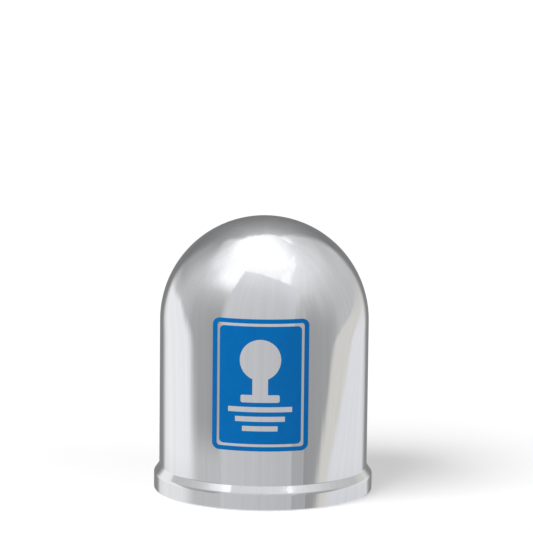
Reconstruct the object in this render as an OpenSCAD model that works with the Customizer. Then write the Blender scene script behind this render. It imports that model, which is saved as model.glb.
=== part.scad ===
// Domed cover for a tow ball, moulded in one piece, with a printed panel on its front.
// +Z is up, the foot of the rim is at Z = 0, the cover's axis is Z and the panel faces -Y.

/* [Body] */
// Outside diameter of the round body
body_d = 59.5; // [58:0.5:70]
// Height from the foot of the rim to the top of the dome
cover_h = 78.5; // [72:0.5:95]
// Thickness of the moulded wall
wall = 2; // [1.6:0.1:2.4]

/* [Rim] */
// How far the rim stands out from the body
rim_out = 1.5; // [0.8:0.1:1.8]
// Height of the rim's upright face
rim_h = 4.6; // [3:0.1:6]
// How far the sloping face above it leans in from upright, in degrees
slope_angle = 35; // [28:1:50]
// Fillet between the sloping face and the body
slope_fillet_r = 0.4; // [0.2:0.1:0.8]
// Rounding of the rim's outer edges
rim_edge_r = 0.4; // [0.2:0.1:0.6]
// Rounding of the inner edge of the mouth
mouth_edge_r = 0.3; // [0.1:0.1:0.5]

/* [Ball socket] */
// Diameter of the tow ball that the cover fits
ball_d = 50; // [46:0.1:51]
// Gap all round between the ball and the socket
ball_gap = 0.15; // [0.05:0.05:0.4]
// How far the ribs below the ball stand in under its widest part
snap = 0.5; // [0.2:0.1:1]
// Number of ribs that hold the ball
rib_n = 8; // [4:1:12]
// Thickness of a rib
rib_t = 1.8; // [1.2:0.1:2.4]
// Height of the ribs' feet above the foot of the rim
rib_foot_z = 10; // [9:0.5:14]
// Depth of a rib at its foot
rib_foot_d = 1; // [0.5:0.1:1.5]
// Height of the slope on the ribs that guides the ball in
lead_h = 9; // [5:0.5:12]
// Diameter of the crown boss in which the ribs meet
crown_d = 12; // [8:0.5:20]

/* [Printed panel] */
// Width of the panel, straight across
panel_w = 26.8; // [24:0.1:34]
// Height of the panel
panel_h = 37.2; // [32:0.1:40]
// Height of the panel's lower edge above the foot of the rim
panel_z = 16.8; // [12:0.1:24]
// Corner radius of the panel
panel_r = 2; // [1.8:0.1:4]
// Thickness of the printed film
film_t = 0.12; // [0.08:0.01:0.2]
// Margin between the panel's edge and the bare line inside it
line_in = 1.2; // [1:0.1:1.6]
// Width of the bare line
line_w = 0.8; // [0.3:0.1:1]
// Corner radius of the field inside the bare line
line_r = 1.2; // [0.4:0.1:3]

/* [Ball mark] */
// Diameter of the bare disc that stands for a ball
mark_d = 11.6; // [8:0.1:14]
// Width of the neck under the disc
mark_neck_w = 4.4; // [3:0.1:6]
// Length of the neck that shows under the disc
mark_neck_h = 4; // [2:0.1:5]
// Width of the collar under the neck
mark_collar_w = 11; // [8:0.1:15]
// Height of the collar
mark_collar_h = 2.2; // [1:0.1:3]
// Number of bars under the collar
bar_n = 3; // [1:1:4]
// Width of the top bar
bar_w = 18; // [13:0.1:19]
// How much narrower each bar is than the one above it
bar_step = 4; // [1:0.1:4]
// Height of a bar
bar_h = 1.5; // [0.8:0.1:1.8]
// Gap between the bars
bar_gap = 1.2; // [0.6:0.1:1.6]

/* [Hidden] */
$fn = 96;

body_r = body_d / 2;
bore_r = body_r - wall;
dome_z = cover_h - body_r;

// The rounded edge, the sloping face and the fillet follow on from each other without a kink.
rim_r = body_r + rim_out;
arcs_r = rim_edge_r + slope_fillet_r;
slope_len = (rim_out - arcs_r * (1 - cos(slope_angle))) / sin(slope_angle);
slope_h = arcs_r * sin(slope_angle) + slope_len * cos(slope_angle);

// The mouth widens a little lower than the rim does, which keeps the wall even.
mouth_r = rim_r - wall;
mouth_z = rim_h - wall * tan(slope_angle / 2);

// The ball's centre is the dome's centre. The throat is narrower than the ball.
socket_r = ball_d / 2 + ball_gap;
throat_r = ball_d / 2 - snap;
lead_r = bore_r - rib_foot_d;

panel_mid_z = panel_z + panel_h / 2;
mark_h = mark_d + mark_neck_h + mark_collar_h + bar_n * (bar_gap + bar_h);

// What is cut past a face, so that the cut goes right through it
past = 1;

// Half outline, from the axis outwards, of an upright round bar with a hemispherical top
module domed_half(r, foot_z) {
    translate([0, foot_z])
        square([r, dome_z - foot_z]);
    translate([0, dome_z])
        intersection() {
            circle(r);
            square(r);
        }
}

// What a rounding of radius r takes off a right-angled corner at the origin
module corner_cut(r) {
    difference() {
        translate([-r, -past])
            square([r + past, r + past]);
        translate([-r, r])
            circle(r);
        translate([-r - past, r])
            square([r + past, past]);
    }
}

// Half outline of the rim's outside: upright face, rounded edge, sloping face and fillet
module rim_half() {
    edge_x = rim_r - rim_edge_r;
    fillet_x = body_r + slope_fillet_r;
    top_z = rim_h + slope_h;
    square([rim_r, rim_h]);
    translate([edge_x, rim_h])
        circle(rim_edge_r);
    difference() {
        polygon([
            [0, rim_h],
            [edge_x, rim_h],
            [edge_x + rim_edge_r * cos(slope_angle), rim_h + rim_edge_r * sin(slope_angle)],
            [fillet_x - slope_fillet_r * cos(slope_angle), top_z - slope_fillet_r * sin(slope_angle)],
            [fillet_x, top_z],
            [0, top_z]
        ]);
        translate([fillet_x, top_z])
            circle(slope_fillet_r);
    }
}

// Half outline of the mouth, which widens behind the rim
module mouth_half() {
    translate([0, -past])
        square([mouth_r, mouth_z + past]);
    polygon([[0, mouth_z], [mouth_r, mouth_z], [bore_r, mouth_z + slope_h], [0, mouth_z + slope_h]]);
}

module shell() {
    rotate_extrude()
        difference() {
            union() {
                domed_half(body_r, 0);
                rim_half();
            }
            domed_half(bore_r, -past);
            mouth_half();
            translate([rim_r, 0])
                corner_cut(rim_edge_r);
            translate([mouth_r, 0])
                mirror([1, 0])
                    corner_cut(mouth_edge_r);
        }
}

// Half outline of the way that the ball takes: the slope, the throat and the round seat
module ball_way_half() {
    translate([0, rib_foot_z - past])
        square([throat_r, dome_z - rib_foot_z + past]);
    polygon([
        [0, rib_foot_z],
        [lead_r, rib_foot_z],
        [throat_r, rib_foot_z + lead_h],
        [0, rib_foot_z + lead_h]
    ]);
    translate([0, dome_z])
        intersection() {
            circle(socket_r);
            translate([0, -socket_r])
                square([socket_r, 2 * socket_r]);
        }
}

// The ribs are slices of one hollow lining, which reaches half way into the wall.
module ribs() {
    intersection() {
        rotate_extrude()
            difference() {
                domed_half(bore_r + wall / 2, rib_foot_z);
                ball_way_half();
            }
        union() {
            for (i = [0 : rib_n - 1])
                rotate(360 / rib_n * (i + 0.5))
                    translate([0, -rib_t / 2, 0])
                        cube([body_r, rib_t, cover_h]);
            cylinder(d = crown_d, h = cover_h);
        }
    }
}

module cover() {
    color("gainsboro") {
        shell();
        ribs();
    }
}

// Rectangle with round corners, about its centre
module rounded_rect(w, h, r) {
    square([w - 2 * r, h], center = true);
    square([w, h - 2 * r], center = true);
    for (x = [-1, 1], y = [-1, 1])
        translate([x * (w / 2 - r), y * (h / 2 - r)])
            circle(r);
}

// The panel's outline, drawn in from its edge by the margin given, with corner radius r
module panel_outline(margin, r) {
    rounded_rect(panel_w - 2 * margin, panel_h - 2 * margin, r);
}

// Bare mark in the middle of the panel: a ball on its neck and collar, over bars that narrow
module ball_mark() {
    ball_y = (mark_h - mark_d) / 2;
    collar_y = ball_y - mark_d / 2 - mark_neck_h - mark_collar_h / 2;
    translate([0, ball_y])
        circle(d = mark_d);
    translate([-mark_neck_w / 2, collar_y])
        square([mark_neck_w, ball_y - collar_y]);
    translate([0, collar_y])
        rounded_rect(mark_collar_w, mark_collar_h, mark_collar_h / 4);
    for (i = [0 : bar_n - 1])
        translate([0, collar_y - mark_collar_h / 2 - (i + 1) * bar_gap - (i + 0.5) * bar_h])
            square([bar_w - i * bar_step, bar_h], center = true);
}

module panel_art() {
    difference() {
        panel_outline(0, panel_r);
        difference() {
            panel_outline(line_in, panel_r - line_in);
            panel_outline(line_in + line_w, line_r);
        }
        ball_mark();
    }
}

// The print lies on the body and the foot of the dome, and follows both.
module emblem() {
    color("dodgerblue")
        intersection() {
            rotate_extrude()
                difference() {
                    domed_half(body_r + film_t, panel_z - past);
                    domed_half(body_r, panel_z - 2 * past);
                }
            translate([0, 0, panel_mid_z])
                rotate([90, 0, 0])
                    linear_extrude(body_r + past)
                        panel_art();
        }
}

cover();
emblem();
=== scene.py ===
"""Chrome tow ball cover with a printed panel, standing on a pale floor in soft studio light."""

import math

import bmesh
import bpy
from mathutils import Euler, Matrix, Vector


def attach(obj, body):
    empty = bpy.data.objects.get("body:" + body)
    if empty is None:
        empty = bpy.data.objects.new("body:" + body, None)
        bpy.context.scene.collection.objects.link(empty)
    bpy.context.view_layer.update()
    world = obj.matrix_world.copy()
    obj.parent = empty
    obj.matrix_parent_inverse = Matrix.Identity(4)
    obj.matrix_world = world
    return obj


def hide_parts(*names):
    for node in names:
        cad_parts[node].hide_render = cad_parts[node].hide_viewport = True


# The photograph's viewpoint about the cover's axis, in metres and degrees
CAMERA_DISTANCE = 0.958
CAMERA_HEIGHT = 0.221
CAMERA_SIDE = 0.00043
CAMERA_TILT = 9.304
CAMERA_TURN = 1.9
CAMERA_ROLL = 0.6
LENS_MM = 230.5
SENSOR_MM = 36

# The floor's size, and how far from the axis it starts and ends to fade to white, in metres
FLOOR_SIZE = 6.0
FLOOR_NEAR = 0.05
FLOOR_FAR = 0.14
FLOOR_COLOUR = (0.86, 0.86, 0.86, 1)
FLOOR_GLOW = 0.12
FLOOR_WHITE = 1.02

# Strength of the world where it is seen, and of its grey where it lights
WORLD_SEEN = 1.0
WORLD_LIGHT = 0.55
WHITE = (1, 1, 1, 1)

# The moulding's sizes, as in the part's source, in metres and degrees
BODY_R = 0.02975
WALL = 0.002
DOME_Z = 0.04875
RIM_R = 0.03125
RIM_H = 0.0046
RIM_EDGE_R = 0.0004
MOUTH_EDGE_R = 0.0003
SLOPE_ANGLE = 35
SLOPE_FILLET_R = 0.0004

# Steps of the turned skin: right round, and along each stretch of its outline
SKIN_STEPS = 180
EDGE_STEPS = 6
FOOT_STEPS = 8
DOME_STEPS = 90
BORE_STEPS = 30

# How far the mirrored direction eases past the dome's foot, and past the rim's upper edge
DOME_EASE = 0.004
DOME_EASE_STEPS = 16
RIM_EASE = 0.0003
RIM_EASE_STEPS = 3

# What counts as the same place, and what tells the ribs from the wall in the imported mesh
SAME_PLACE = 1e-7
PLACE_DIGITS = 7
NEAR = 0.0001
RIB_REACH = 0.0003
FACES_WALL = 0.9

# The studio's reflectors, which only mirror-like surfaces see. GLOW is the level that fills their
# colour, the streaks are the faint upright unevenness of their light, SHARP is the fade of an edge
# that isn't soft, and ANY_PLACE is where a new stop stands until it gets its own height.
REFLECTOR_R = 0.20
REFLECTOR_STEPS = 48
ROOF_STEPS = 64
GLOW = 2.0
STREAK_DEGREES = 4
STREAKS_UP = 0.8
STREAK_DEPTH = 0.05
STREAK_SPAN = (0.25, 0.75)
SHARP = 1e-4
ANY_PLACE = 0.5
PLAIN = (1, 1, 1)
COOL = (0.98, 0.985, 1.01)
BEIGE = (1.02, 1.0, 0.94)


def link(obj):
    bpy.context.scene.collection.objects.link(obj)
    return obj


def link_mesh(name, mesh):
    """Turns a bmesh into an object of the scene."""
    data = bpy.data.meshes.new(name)
    mesh.to_mesh(data)
    mesh.free()
    return link(bpy.data.objects.new(name, data))


def new_material(name):
    material = bpy.data.materials.new(name)
    material.use_nodes = True
    material.node_tree.nodes.clear()
    return material, material.node_tree


def add_node(tree, kind, sockets=None, **values):
    """Adds a shader node. values are its own settings, and sockets says what each input is linked
    to or set to."""
    node = tree.nodes.new(kind)
    for key, value in values.items():
        setattr(node, key, value)
    for key, value in (sockets or {}).items():
        if isinstance(value, bpy.types.NodeSocket):
            tree.links.new(value, node.inputs[key])
        else:
            node.inputs[key].default_value = value
    return node


def object_place(tree):
    return add_node(tree, "ShaderNodeTexCoord").outputs["Object"]


def map_range(tree, value, came, becomes=(0, 1), shape="LINEAR"):
    """Turns a value that lies between the two of came into one between the two of becomes."""
    sockets = {
        "Value": value,
        "From Min": came[0],
        "From Max": came[1],
        "To Min": becomes[0],
        "To Max": becomes[1],
    }
    node = add_node(tree, "ShaderNodeMapRange", sockets, interpolation_type=shape)
    return node.outputs["Result"]


def mixed(tree, factor, first, second):
    """Shader that goes from the first to the second as the factor rises."""
    return add_node(tree, "ShaderNodeMixShader", {"Fac": factor, 1: first, 2: second}).outputs[0]


def surface_output(tree, shader):
    add_node(tree, "ShaderNodeOutputMaterial", {"Surface": shader})


def give_material(obj, material):
    obj.data.materials.clear()
    obj.data.materials.append(material)


def chrome_material():
    """Bright plating: a near mirror with a faint moulding ripple and fine wiping marks."""
    material, tree = new_material("chrome_plating")
    place = object_place(tree)

    def noise(scale, upright, detail):
        """Noise that is drawn out along the axis where upright is below 1."""
        stretched = add_node(tree, "ShaderNodeMapping", {"Vector": place, "Scale": (1, 1, upright)})
        sockets = {"Vector": stretched.outputs[0], "Scale": scale, "Detail": detail}
        return add_node(tree, "ShaderNodeTexNoise", sockets).outputs["Fac"]

    def bump(height, depth, under=None):
        sockets = {"Height": height, "Strength": 1.0, "Distance": depth}
        if under:
            sockets["Normal"] = under
        return add_node(tree, "ShaderNodeBump", sockets).outputs[0]

    ripple = bump(noise(scale=110, upright=0.12, detail=1.5), depth=0.0002)
    lines = bump(noise(scale=700, upright=0.02, detail=1), depth=0.000015, under=ripple)
    peel = bump(noise(scale=900, upright=1, detail=2), depth=0.000002, under=lines)
    wiping = bump(noise(scale=2600, upright=0.04, detail=3), depth=0.0000015, under=peel)
    haze = noise(scale=260, upright=0.3, detail=4)
    sockets = {
        "Base Color": (0.793, 0.8, 0.82, 1),
        "Metallic": 1.0,
        "Roughness": map_range(tree, haze, (0.35, 0.75), (0.03, 0.11)),
        "Normal": wiping,
    }
    shader = add_node(tree, "ShaderNodeBsdfPrincipled", sockets)
    surface_output(tree, shader.outputs["BSDF"])
    return material


def print_material():
    """Blue ink, smooth and half glossy, with a slight mottle."""
    material, tree = new_material("blue_print")
    sockets = {"Vector": object_place(tree), "Scale": 420, "Detail": 4}
    mottle = add_node(tree, "ShaderNodeTexNoise", sockets).outputs["Fac"]
    sockets = {"A": (0.0, 0.095, 0.3, 1), "B": (0.0, 0.114, 0.348, 1), "Factor": mottle}
    shade = add_node(tree, "ShaderNodeMix", sockets, data_type="RGBA")
    sockets = {
        "Base Color": shade.outputs["Result"],
        "Roughness": map_range(tree, mottle, (0, 1), (0.34, 0.46)),
        "Specular IOR Level": 0.05,
    }
    shader = add_node(tree, "ShaderNodeBsdfPrincipled", sockets)
    surface_output(tree, shader.outputs["BSDF"])
    return material


def towards(bearing):
    """Level direction from the axis, at a bearing in degrees to the right of the camera."""
    turn = math.radians(bearing + CAMERA_TURN)
    return Vector((math.sin(turn), -math.cos(turn), 0))


def only_in_reflections(obj):
    obj.visible_camera = False
    obj.visible_diffuse = False
    obj.visible_shadow = False
    obj.visible_transmission = False
    obj.visible_volume_scatter = False


def reflector_material(name, levels, soft, lean, tint, width):
    """Glow of a reflector that is width degrees wide. The other values are as in reflector."""
    material, tree = new_material(name)
    uv = add_node(tree, "ShaderNodeTexCoord").outputs["UV"]
    split = add_node(tree, "ShaderNodeSeparateXYZ", {0: uv})
    across, up = split.outputs["X"], split.outputs["Y"]

    def times(a, b):
        return add_node(tree, "ShaderNodeMath", {0: a, 1: b}, operation="MULTIPLY").outputs[0]

    def fade_in(way, depth):
        return map_range(tree, way, (0, max(depth, SHARP)), (0, 1), "SMOOTHSTEP")

    def fade_out(way, depth):
        return map_range(tree, way, (1 - max(depth, SHARP), 1), (1, 0), "SMOOTHSTEP")

    left, right, low, top = soft
    cover = times(fade_in(across, left), fade_out(across, right))
    cover = times(cover, times(fade_in(up, low), fade_out(up, top)))

    stops = add_node(tree, "ShaderNodeValToRGB", {"Fac": up})
    elements = stops.color_ramp.elements
    while len(elements) < len(levels):
        elements.new(ANY_PLACE)
    for element, (height, level) in zip(elements, levels):
        element.position = height
        element.color = [level / GLOW * part for part in tint] + [1]

    spread = (width / STREAK_DEGREES, STREAKS_UP, 1)
    spread = add_node(tree, "ShaderNodeMapping", {"Vector": uv, "Scale": spread}).outputs[0]
    sockets = {"Vector": spread, "Scale": 1, "Detail": 2}
    streaks = add_node(tree, "ShaderNodeTexNoise", sockets).outputs["Fac"]
    depth = (GLOW * (1 - STREAK_DEPTH), GLOW * (1 + STREAK_DEPTH))
    grain = map_range(tree, streaks, STREAK_SPAN, depth)
    strength = times(map_range(tree, across, (0, 1), lean), grain)

    sockets = {"Color": stops.outputs["Color"], "Strength": strength}
    glow = add_node(tree, "ShaderNodeEmission", sockets).outputs[0]
    clear = add_node(tree, "ShaderNodeBsdfTransparent").outputs[0]
    surface_output(tree, mixed(tree, cover, clear, glow))
    return material


def sheet_mesh(foot, head, heights, radius, bend):
    """Upright curved sheet about the axis, with a UV that runs from left to right and upwards."""
    mesh = bmesh.new()
    uv_layer = mesh.loops.layers.uv.new("UVMap")
    rows = []
    for j in range(REFLECTOR_STEPS + 1):
        up = j / REFLECTOR_STEPS
        left, right = (low + up**bend * (high - low) for low, high in zip(foot, head))
        row = []
        for i in range(REFLECTOR_STEPS + 1):
            across = i / REFLECTOR_STEPS
            top = heights[1] + across**2 * (heights[-1] - heights[1])
            place = towards(left + across * (right - left)) * radius
            place.z = heights[0] + up * (top - heights[0])
            row.append((mesh.verts.new(place), (across, up)))
        rows.append(row)
    for lower, upper in zip(rows, rows[1:]):
        for i in range(REFLECTOR_STEPS):
            corners = (lower[i], lower[i + 1], upper[i + 1], upper[i])
            face = mesh.faces.new([corner[0] for corner in corners])
            for loop, corner in zip(face.loops, corners):
                loop[uv_layer].uv = corner[1]
    return mesh


def reflector(
    name,
    foot,
    head,
    heights,
    levels,
    soft=(0, 0, 0, 0),
    lean=(1, 1),
    tint=PLAIN,
    radius=REFLECTOR_R,
    bend=1,
):
    """Upright sheet of light or shade that stands round the cover.

    foot and head are the bearings of its left and right side at its lower and its upper edge.
    heights are those of its lower edge and its upper one, whose right end can have one of its own.
    levels are stops of (height, level), with 0 at the foot and 1 at the top. soft says how deep the
    left, right, lower and upper edge fade, as a share of the sheet. lean is what the levels are
    multiplied by at the left and the right side. A bend above 1 keeps the sides upright near the
    foot, and one below 1 near the top."""
    sheet = link_mesh(name, sheet_mesh(foot, head, heights, radius, bend))
    width = foot[1] - foot[0]
    sheet.data.materials.append(reflector_material(name, levels, soft, lean, tint, width))
    only_in_reflections(sheet)


def roof(name, height, radius, levels, dimmed, bearing):
    """Round softbox overhead. It dims from the first level to the second between the two distances
    of dimmed, which are measured from the axis towards a bearing."""
    mesh = bmesh.new()
    bmesh.ops.create_circle(mesh, cap_ends=True, segments=ROOF_STEPS, radius=radius)
    disc = link_mesh(name, mesh)
    disc.location.z = height
    material, tree = new_material(name)
    sockets = {0: object_place(tree), 1: towards(bearing)}
    along = add_node(tree, "ShaderNodeVectorMath", sockets, operation="DOT_PRODUCT")
    strength = map_range(tree, along.outputs["Value"], dimmed, levels)
    glow = add_node(tree, "ShaderNodeEmission", {"Strength": strength})
    surface_output(tree, glow.outputs[0])
    disc.data.materials.append(material)
    only_in_reflections(disc)


def room_reflectors():
    """The pale room, its roof, and what shades it behind the cover."""
    reflector(
        "walls",
        foot=(-180, 180),
        head=(-180, 180),
        heights=(-0.10, 0.62),
        levels=(
            (0, 0.6),
            (0.3, 0.6),
            (0.37, 0.63),
            (0.444, 0.71),
            (0.54, 0.84),
            (0.62, 1.0),
            (0.76, 1.15),
            (1, 1.25),
        ),
        soft=(0, 0, 0.055, 0),
        radius=0.26,
    )
    roof(
        "overhead_softbox",
        height=0.62,
        radius=0.26,
        levels=(1.3, 0.95),
        dimmed=(0.11, 0.24),
        bearing=125,
    )
    reflector(
        "rear_high",
        foot=(80, 280),
        head=(80, 280),
        heights=(0.16, 0.62),
        levels=((0, 0.5), (0.3, 0.66), (0.5, 0.72), (1, 0.95)),
        soft=(0.25, 0.25, 0.2, 0.35),
        radius=0.255,
    )
    reflector(
        "rear_flag",
        foot=(127, 234),
        head=(152, 220),
        heights=(-0.10, 0.51),
        levels=((0, 0.3), (0.36, 0.22), (0.46, 0.28), (0.86, 0.6), (1, 0.75)),
        soft=(0.15, 0.15, 0.065, 0.15),
        radius=0.19,
    )


def dome_reflectors():
    """What gives the highlight on the dome its outline, and the dome its shade on both sides."""
    reflector(
        "left_high",
        foot=(-84, -38),
        head=(-84, -38),
        heights=(0.19, 0.60),
        levels=((0, 1.25), (1, 1.25)),
        soft=(0.5, 0.05, 0.3, 0.1),
        radius=0.25,
    )
    reflector(
        "left_shade",
        foot=(-165, -92),
        head=(-165, -92),
        heights=(0.09, 0.34),
        levels=((0, 0.36), (1, 0.36)),
        soft=(0.1, 0.75, 0.15, 0.35),
    )
    reflector(
        "right_high",
        foot=(7, 140),
        head=(98, 140),
        heights=(0.16, 0.62),
        levels=((0, 0.64), (0.13, 0.74), (0.3, 0.84), (0.61, 0.88), (0.72, 0.9), (1, 0.95)),
        soft=(0.06, 0.3, 0.12, 0.03),
        lean=(1.12, 0.85),
        radius=0.25,
    )
    reflector(
        "right_notch",
        foot=(20, 40),
        head=(30, 58),
        heights=(0.28, 0.47),
        levels=((0, 1.2), (1, 1.25)),
        soft=(0.15, 0.25, 0.1, 0.3),
        radius=0.247,
    )


def front_reflectors():
    """The grey screen round the camera, with a top that slopes down to the right, and the dark
    flags on both sides of it."""
    reflector(
        "screen",
        foot=(-46.5, 32),
        head=(-39, 46),
        heights=(-0.10, 0.475, 0.235),
        levels=((0, 0.62), (0.3, 0.65), (0.5, 0.69), (0.62, 0.73), (0.76, 0.81), (0.98, 0.9)),
        soft=(0.03, 0.03, 0.07, 0.02),
        lean=(1.06, 0.92),
        tint=COOL,
        radius=0.24,
    )
    reflector(
        "left_flag",
        foot=(-98, -45),
        head=(-98, -45),
        heights=(-0.034, 0.22),
        levels=((0, 0.4), (1, 0.48)),
        soft=(0.35, 0.08, 0.06, 0.6),
        lean=(1.15, 0.95),
        radius=0.23,
    )
    reflector(
        "right_half",
        foot=(25, 60),
        head=(38, 60),
        heights=(-0.10, 0.20),
        levels=((0, 0.46), (1, 0.5)),
        soft=(0.05, 0, 0.13, 0.6),
        radius=0.235,
    )
    reflector(
        "right_flag",
        foot=(42, 92),
        head=(45, 92),
        heights=(-0.10, 0.17),
        levels=((0, 0.36), (1, 0.44)),
        soft=(0.03, 0.4, 0.14, 0.5),
        lean=(0.97, 1.15),
        radius=0.23,
    )


def side_reflectors():
    """The low whites on both sides, whose front edges lean back as they rise, and the beige strip
    along the right one."""
    reflector(
        "left_low",
        foot=(-150, -69),
        head=(-152, -106),
        heights=(-0.06, 0.096),
        levels=((0, 0.91), (0.15, 0.91), (0.22, 1.0), (1, 1.0)),
        soft=(0.4, 0.22, 0, 0.16),
        bend=2.5,
    )
    reflector(
        "right_warm",
        foot=(43, 150),
        head=(130, 152),
        heights=(-0.06, 0.10),
        levels=((0, 0.74), (1, 0.74)),
        soft=(0.1, 0.1, 0, 0.4),
        tint=BEIGE,
        radius=0.205,
        bend=1.3,
    )
    reflector(
        "right_low",
        foot=(34, 150),
        head=(136, 152),
        heights=(-0.06, 0.06),
        levels=((0, 0.8), (0.16, 0.8), (0.27, 0.87), (1, 0.9)),
        soft=(0.1, 0.1, 0, 0.4),
        tint=COOL,
        bend=0.8,
    )


def studio_world():
    """White where it is seen or mirrored, and a softer grey where it lights."""
    world = bpy.data.worlds.new("studio")
    bpy.context.scene.world = world
    world.use_nodes = True
    tree = world.node_tree
    tree.nodes.clear()

    def larger(a, b):
        return add_node(tree, "ShaderNodeMath", {0: a, 1: b}, operation="MAXIMUM").outputs[0]

    rays = add_node(tree, "ShaderNodeLightPath").outputs
    in_view = larger(rays["Is Camera Ray"], rays["Is Glossy Ray"])
    in_view = larger(in_view, rays["Is Transmission Ray"])
    light = add_node(tree, "ShaderNodeBackground", {"Strength": WORLD_LIGHT})
    seen = add_node(tree, "ShaderNodeBackground", {"Color": WHITE, "Strength": WORLD_SEEN})
    shader = mixed(tree, in_view, light.outputs[0], seen.outputs[0])
    add_node(tree, "ShaderNodeOutputWorld", {"Surface": shader})


def studio_floor():
    """Matt floor that takes the shadow near the cover and fades to plain white away from it."""
    mesh = bmesh.new()
    bmesh.ops.create_grid(mesh, x_segments=1, y_segments=1, size=FLOOR_SIZE / 2)
    floor = link_mesh("floor", mesh)
    material, tree = new_material("floor")
    distance = add_node(tree, "ShaderNodeVectorMath", {0: object_place(tree)}, operation="LENGTH")
    away = map_range(tree, distance.outputs["Value"], (FLOOR_NEAR, FLOOR_FAR), shape="SMOOTHSTEP")
    matt = add_node(tree, "ShaderNodeBsdfDiffuse", {"Color": FLOOR_COLOUR}).outputs[0]
    glow = add_node(tree, "ShaderNodeEmission", {"Strength": FLOOR_GLOW}).outputs[0]
    near = add_node(tree, "ShaderNodeAddShader", {0: matt, 1: glow}).outputs[0]
    white = add_node(tree, "ShaderNodeEmission", {"Strength": FLOOR_WHITE}).outputs[0]
    surface_output(tree, mixed(tree, away, near, white))
    floor.data.materials.append(material)
    floor.visible_glossy = False


def softbox_lamp(name, place, side, power):
    """Square lamp that shines on the cover and that the chrome doesn't show."""
    lamp = bpy.data.lights.new(name, "AREA")
    lamp.shape = "SQUARE"
    lamp.size = side
    lamp.energy = power
    obj = link(bpy.data.objects.new(name, lamp))
    obj.location = place
    obj.rotation_euler = (-Vector(place)).to_track_quat("-Z", "Y").to_euler()
    obj.visible_glossy = False


def studio_camera():
    data = bpy.data.cameras.new("camera")
    data.sensor_width = SENSOR_MM
    data.lens = LENS_MM
    camera = link(bpy.data.objects.new("camera", data))
    camera.location = towards(0) * CAMERA_DISTANCE + towards(90) * CAMERA_SIDE
    camera.location.z = CAMERA_HEIGHT
    aim = Euler((math.radians(90 - CAMERA_TILT), 0, math.radians(CAMERA_TURN))).to_matrix()
    roll = Matrix.Rotation(math.radians(CAMERA_ROLL), 3, "Z")
    camera.rotation_euler = (aim @ roll).to_euler()
    bpy.context.scene.camera = camera


def arc(centre, radius, start, end, steps):
    """Points and outward normals along an arc of the moulding's outline, between two angles in
    degrees. A negative radius marks an arc that is hollow seen from outside the plastic."""
    side = 1 if radius > 0 else -1
    points = []
    for i in range(steps + 1):
        angle = math.radians(start + (end - start) * i / steps)
        out = (math.cos(angle), math.sin(angle))
        point = (centre[0] + abs(radius) * out[0], centre[1] + abs(radius) * out[1])
        points.append((point, (side * out[0], side * out[1])))
    return points


def rim_edge():
    """The rim's upper edge, where the mirrored direction starts to turn a little before the
    rounding and ends a little after it."""
    turn = math.radians(SLOPE_ANGLE)
    up_slope = Vector((-math.sin(turn), math.cos(turn)))
    rounding = arc((RIM_R - RIM_EDGE_R, RIM_H), RIM_EDGE_R, 0, SLOPE_ANGLE, EDGE_STEPS)
    step = RIM_EASE / RIM_EASE_STEPS
    path = [Vector((RIM_R, RIM_H - RIM_EASE + i * step)) for i in range(RIM_EASE_STEPS)]
    path += [Vector(point) for point, _ in rounding]
    end = path[-1]
    path += [end + up_slope * (step * (i + 1)) for i in range(RIM_EASE_STEPS)]
    gone = [0.0]
    for before, after in zip(path, path[1:]):
        gone.append(gone[-1] + (after - before).length)
    tilts = [turn * way / gone[-1] for way in gone]
    return [(tuple(place), (math.cos(tilt), math.sin(tilt))) for place, tilt in zip(path, tilts)]


def eased(point, normal):
    """Lets the mirrored direction turn gradually where the straight body meets the dome."""
    rise = point[1] - DOME_Z
    if abs(rise) >= DOME_EASE:
        return point, normal
    tilt = (rise + DOME_EASE) ** 2 / (4 * DOME_EASE * BODY_R)
    return point, (math.cos(tilt), math.sin(tilt))


def skin_outline():
    """The moulding's closed half outline, as points and normals, up its outside and down its
    inside."""
    turn = math.radians(SLOPE_ANGLE)
    arcs_r = RIM_EDGE_R + SLOPE_FILLET_R
    slope = (RIM_R - BODY_R - arcs_r * (1 - math.cos(turn))) / math.sin(turn)
    top_z = RIM_H + arcs_r * math.sin(turn) + slope * math.cos(turn)
    fillet_x = BODY_R + SLOPE_FILLET_R
    mouth_r = RIM_R - WALL
    mouth_z = RIM_H - WALL * math.tan(turn / 2)
    bore_r = BODY_R - WALL
    bore_z = mouth_z + top_z - RIM_H
    inward = (-math.cos(turn), -math.sin(turn))
    points = arc((mouth_r + MOUTH_EDGE_R, MOUTH_EDGE_R), MOUTH_EDGE_R, 180, 270, EDGE_STEPS)
    points += arc((RIM_R - RIM_EDGE_R, RIM_EDGE_R), RIM_EDGE_R, 270, 360, FOOT_STEPS)
    points += rim_edge()
    points += arc((fillet_x, top_z), -SLOPE_FILLET_R, 180 + SLOPE_ANGLE, 180, EDGE_STEPS)
    for i in range(DOME_EASE_STEPS):
        height = DOME_Z - DOME_EASE * (1 - i / DOME_EASE_STEPS)
        points.append(eased((BODY_R, height), (1, 0)))
    dome = arc((0, DOME_Z), BODY_R, 0, 90, DOME_STEPS)
    points += [eased(point, normal) for point, normal in dome]
    points += arc((0, DOME_Z), -bore_r, 90, 0, BORE_STEPS)
    points += [((bore_r, bore_z), (-1, 0)), ((bore_r, bore_z), inward)]
    points += [((mouth_r, mouth_z), inward), ((mouth_r, mouth_z), (-1, 0))]
    return points


def around(point, turn):
    """A point or direction of the half outline, turned about the axis."""
    return (point[0] * math.cos(turn), point[0] * math.sin(turn), point[1])


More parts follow.
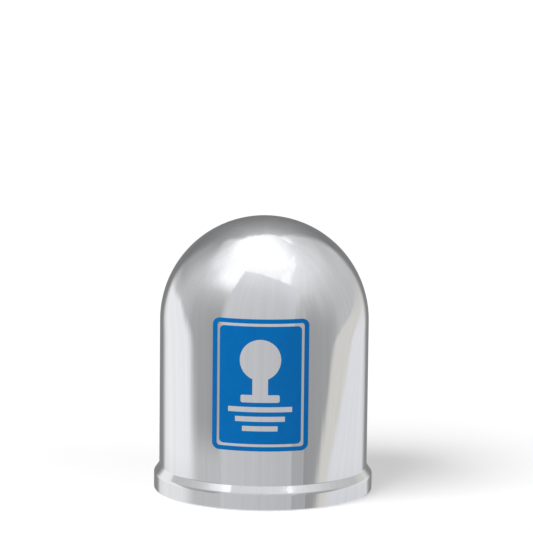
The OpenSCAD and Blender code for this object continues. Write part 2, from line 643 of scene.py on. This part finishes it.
def turned(outline):
    """The places, faces and corner normals of an outline that is turned about the axis. Points in
    the same place share their ring, and a point on the axis is one vertex."""
    turns = [2 * math.pi * i / SKIN_STEPS for i in range(SKIN_STEPS)]
    places, rings, faces, normals = [], [], [], []
    for j, (point, _) in enumerate(outline):
        if j and (Vector(point) - Vector(outline[j - 1][0])).length < SAME_PLACE:
            rings.append(rings[-1])
        elif point[0] < SAME_PLACE:
            rings.append([len(places)] * SKIN_STEPS)
            places.append((0, 0, point[1]))
        else:
            rings.append([len(places) + i for i in range(SKIN_STEPS)])
            places += [around(point, turn) for turn in turns]
    for j in range(len(rings)):
        k = (j + 1) % len(rings)
        for i in range(SKIN_STEPS):
            after = (i + 1) % SKIN_STEPS
            corners = {}
            for row, column in ((j, i), (j, after), (k, after), (k, i)):
                corners.setdefault(rings[row][column], (outline[row][1], turns[column]))
            if len(corners) < 3:
                continue
            faces.append(list(corners))
            normals += [around(normal, turn) for normal, turn in corners.values()]
    return places, faces, normals


def from_axis(place):
    """Where a point lies from the axis, or above the dome's foot from the dome's centre."""
    return Vector((place.x, place.y, max(place.z - DOME_Z, 0)))


def is_rib_face(face):
    """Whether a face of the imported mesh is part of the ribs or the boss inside, not the wall."""
    out = from_axis(face.center)
    if out.length > BODY_R - WALL + NEAR or face.center.z < RIM_H:
        return False
    on_wall = out.length > BODY_R - WALL - RIB_REACH
    return not (on_wall and abs(face.normal.dot(out.normalized())) > FACES_WALL)


def tucked(place):
    """Lets a rib's edge end just inside the wall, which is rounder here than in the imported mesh."""
    out = from_axis(place)
    if out.length < BODY_R - WALL - RIB_REACH:
        return tuple(place)
    return tuple(place + out.normalized() * NEAR)


def add_ribs(packed, places, faces, normals):
    """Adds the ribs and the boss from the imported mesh, with one vertex for each place."""
    joined = {}
    for face in packed.polygons:
        if not is_rib_face(face):
            continue
        corners = []
        for k in face.vertices:
            place = packed.vertices[k].co
            key = tuple(round(part, PLACE_DIGITS) for part in place)
            if key not in joined:
                joined[key] = len(places)
                places.append(tucked(place))
            corners.append(joined[key])
        if len(set(corners)) < len(corners):
            continue
        faces.append(corners)
        normals += [tuple(packed.corner_normals[k].vector) for k in face.loop_indices]


def cover_skin(node, material):
    """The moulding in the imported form, turned in finer steps so that it mirrors without facets."""
    places, faces, normals = turned(skin_outline())
    add_ribs(node.data, places, faces, normals)
    data = bpy.data.meshes.new("cover_skin")
    data.from_pydata(places, [], faces)
    data.polygons.foreach_set("use_smooth", [True] * len(faces))
    data.normals_split_custom_set(normals)
    data.materials.append(material)
    skin = link(bpy.data.objects.new("cover_skin", data))
    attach(skin, "root")
    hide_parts("cover")


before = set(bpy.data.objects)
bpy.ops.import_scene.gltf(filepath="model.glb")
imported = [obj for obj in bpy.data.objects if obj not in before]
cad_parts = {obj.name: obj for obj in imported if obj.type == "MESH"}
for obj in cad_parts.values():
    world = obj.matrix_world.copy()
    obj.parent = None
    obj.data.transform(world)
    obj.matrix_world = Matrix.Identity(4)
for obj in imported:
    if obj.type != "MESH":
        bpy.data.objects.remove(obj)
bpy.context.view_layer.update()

bpy.context.scene.view_settings.view_transform = "Standard"
studio_camera()
studio_world()
studio_floor()
room_reflectors()
dome_reflectors()
front_reflectors()
side_reflectors()
softbox_lamp("key_lamp", place=(-0.6, -0.6, 0.8), side=0.9, power=13)
softbox_lamp("fill_lamp", place=(0.7, -0.4, 0.6), side=0.6, power=2)

cover_skin(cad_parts["cover"], chrome_material())
give_material(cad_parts["emblem"], print_material())
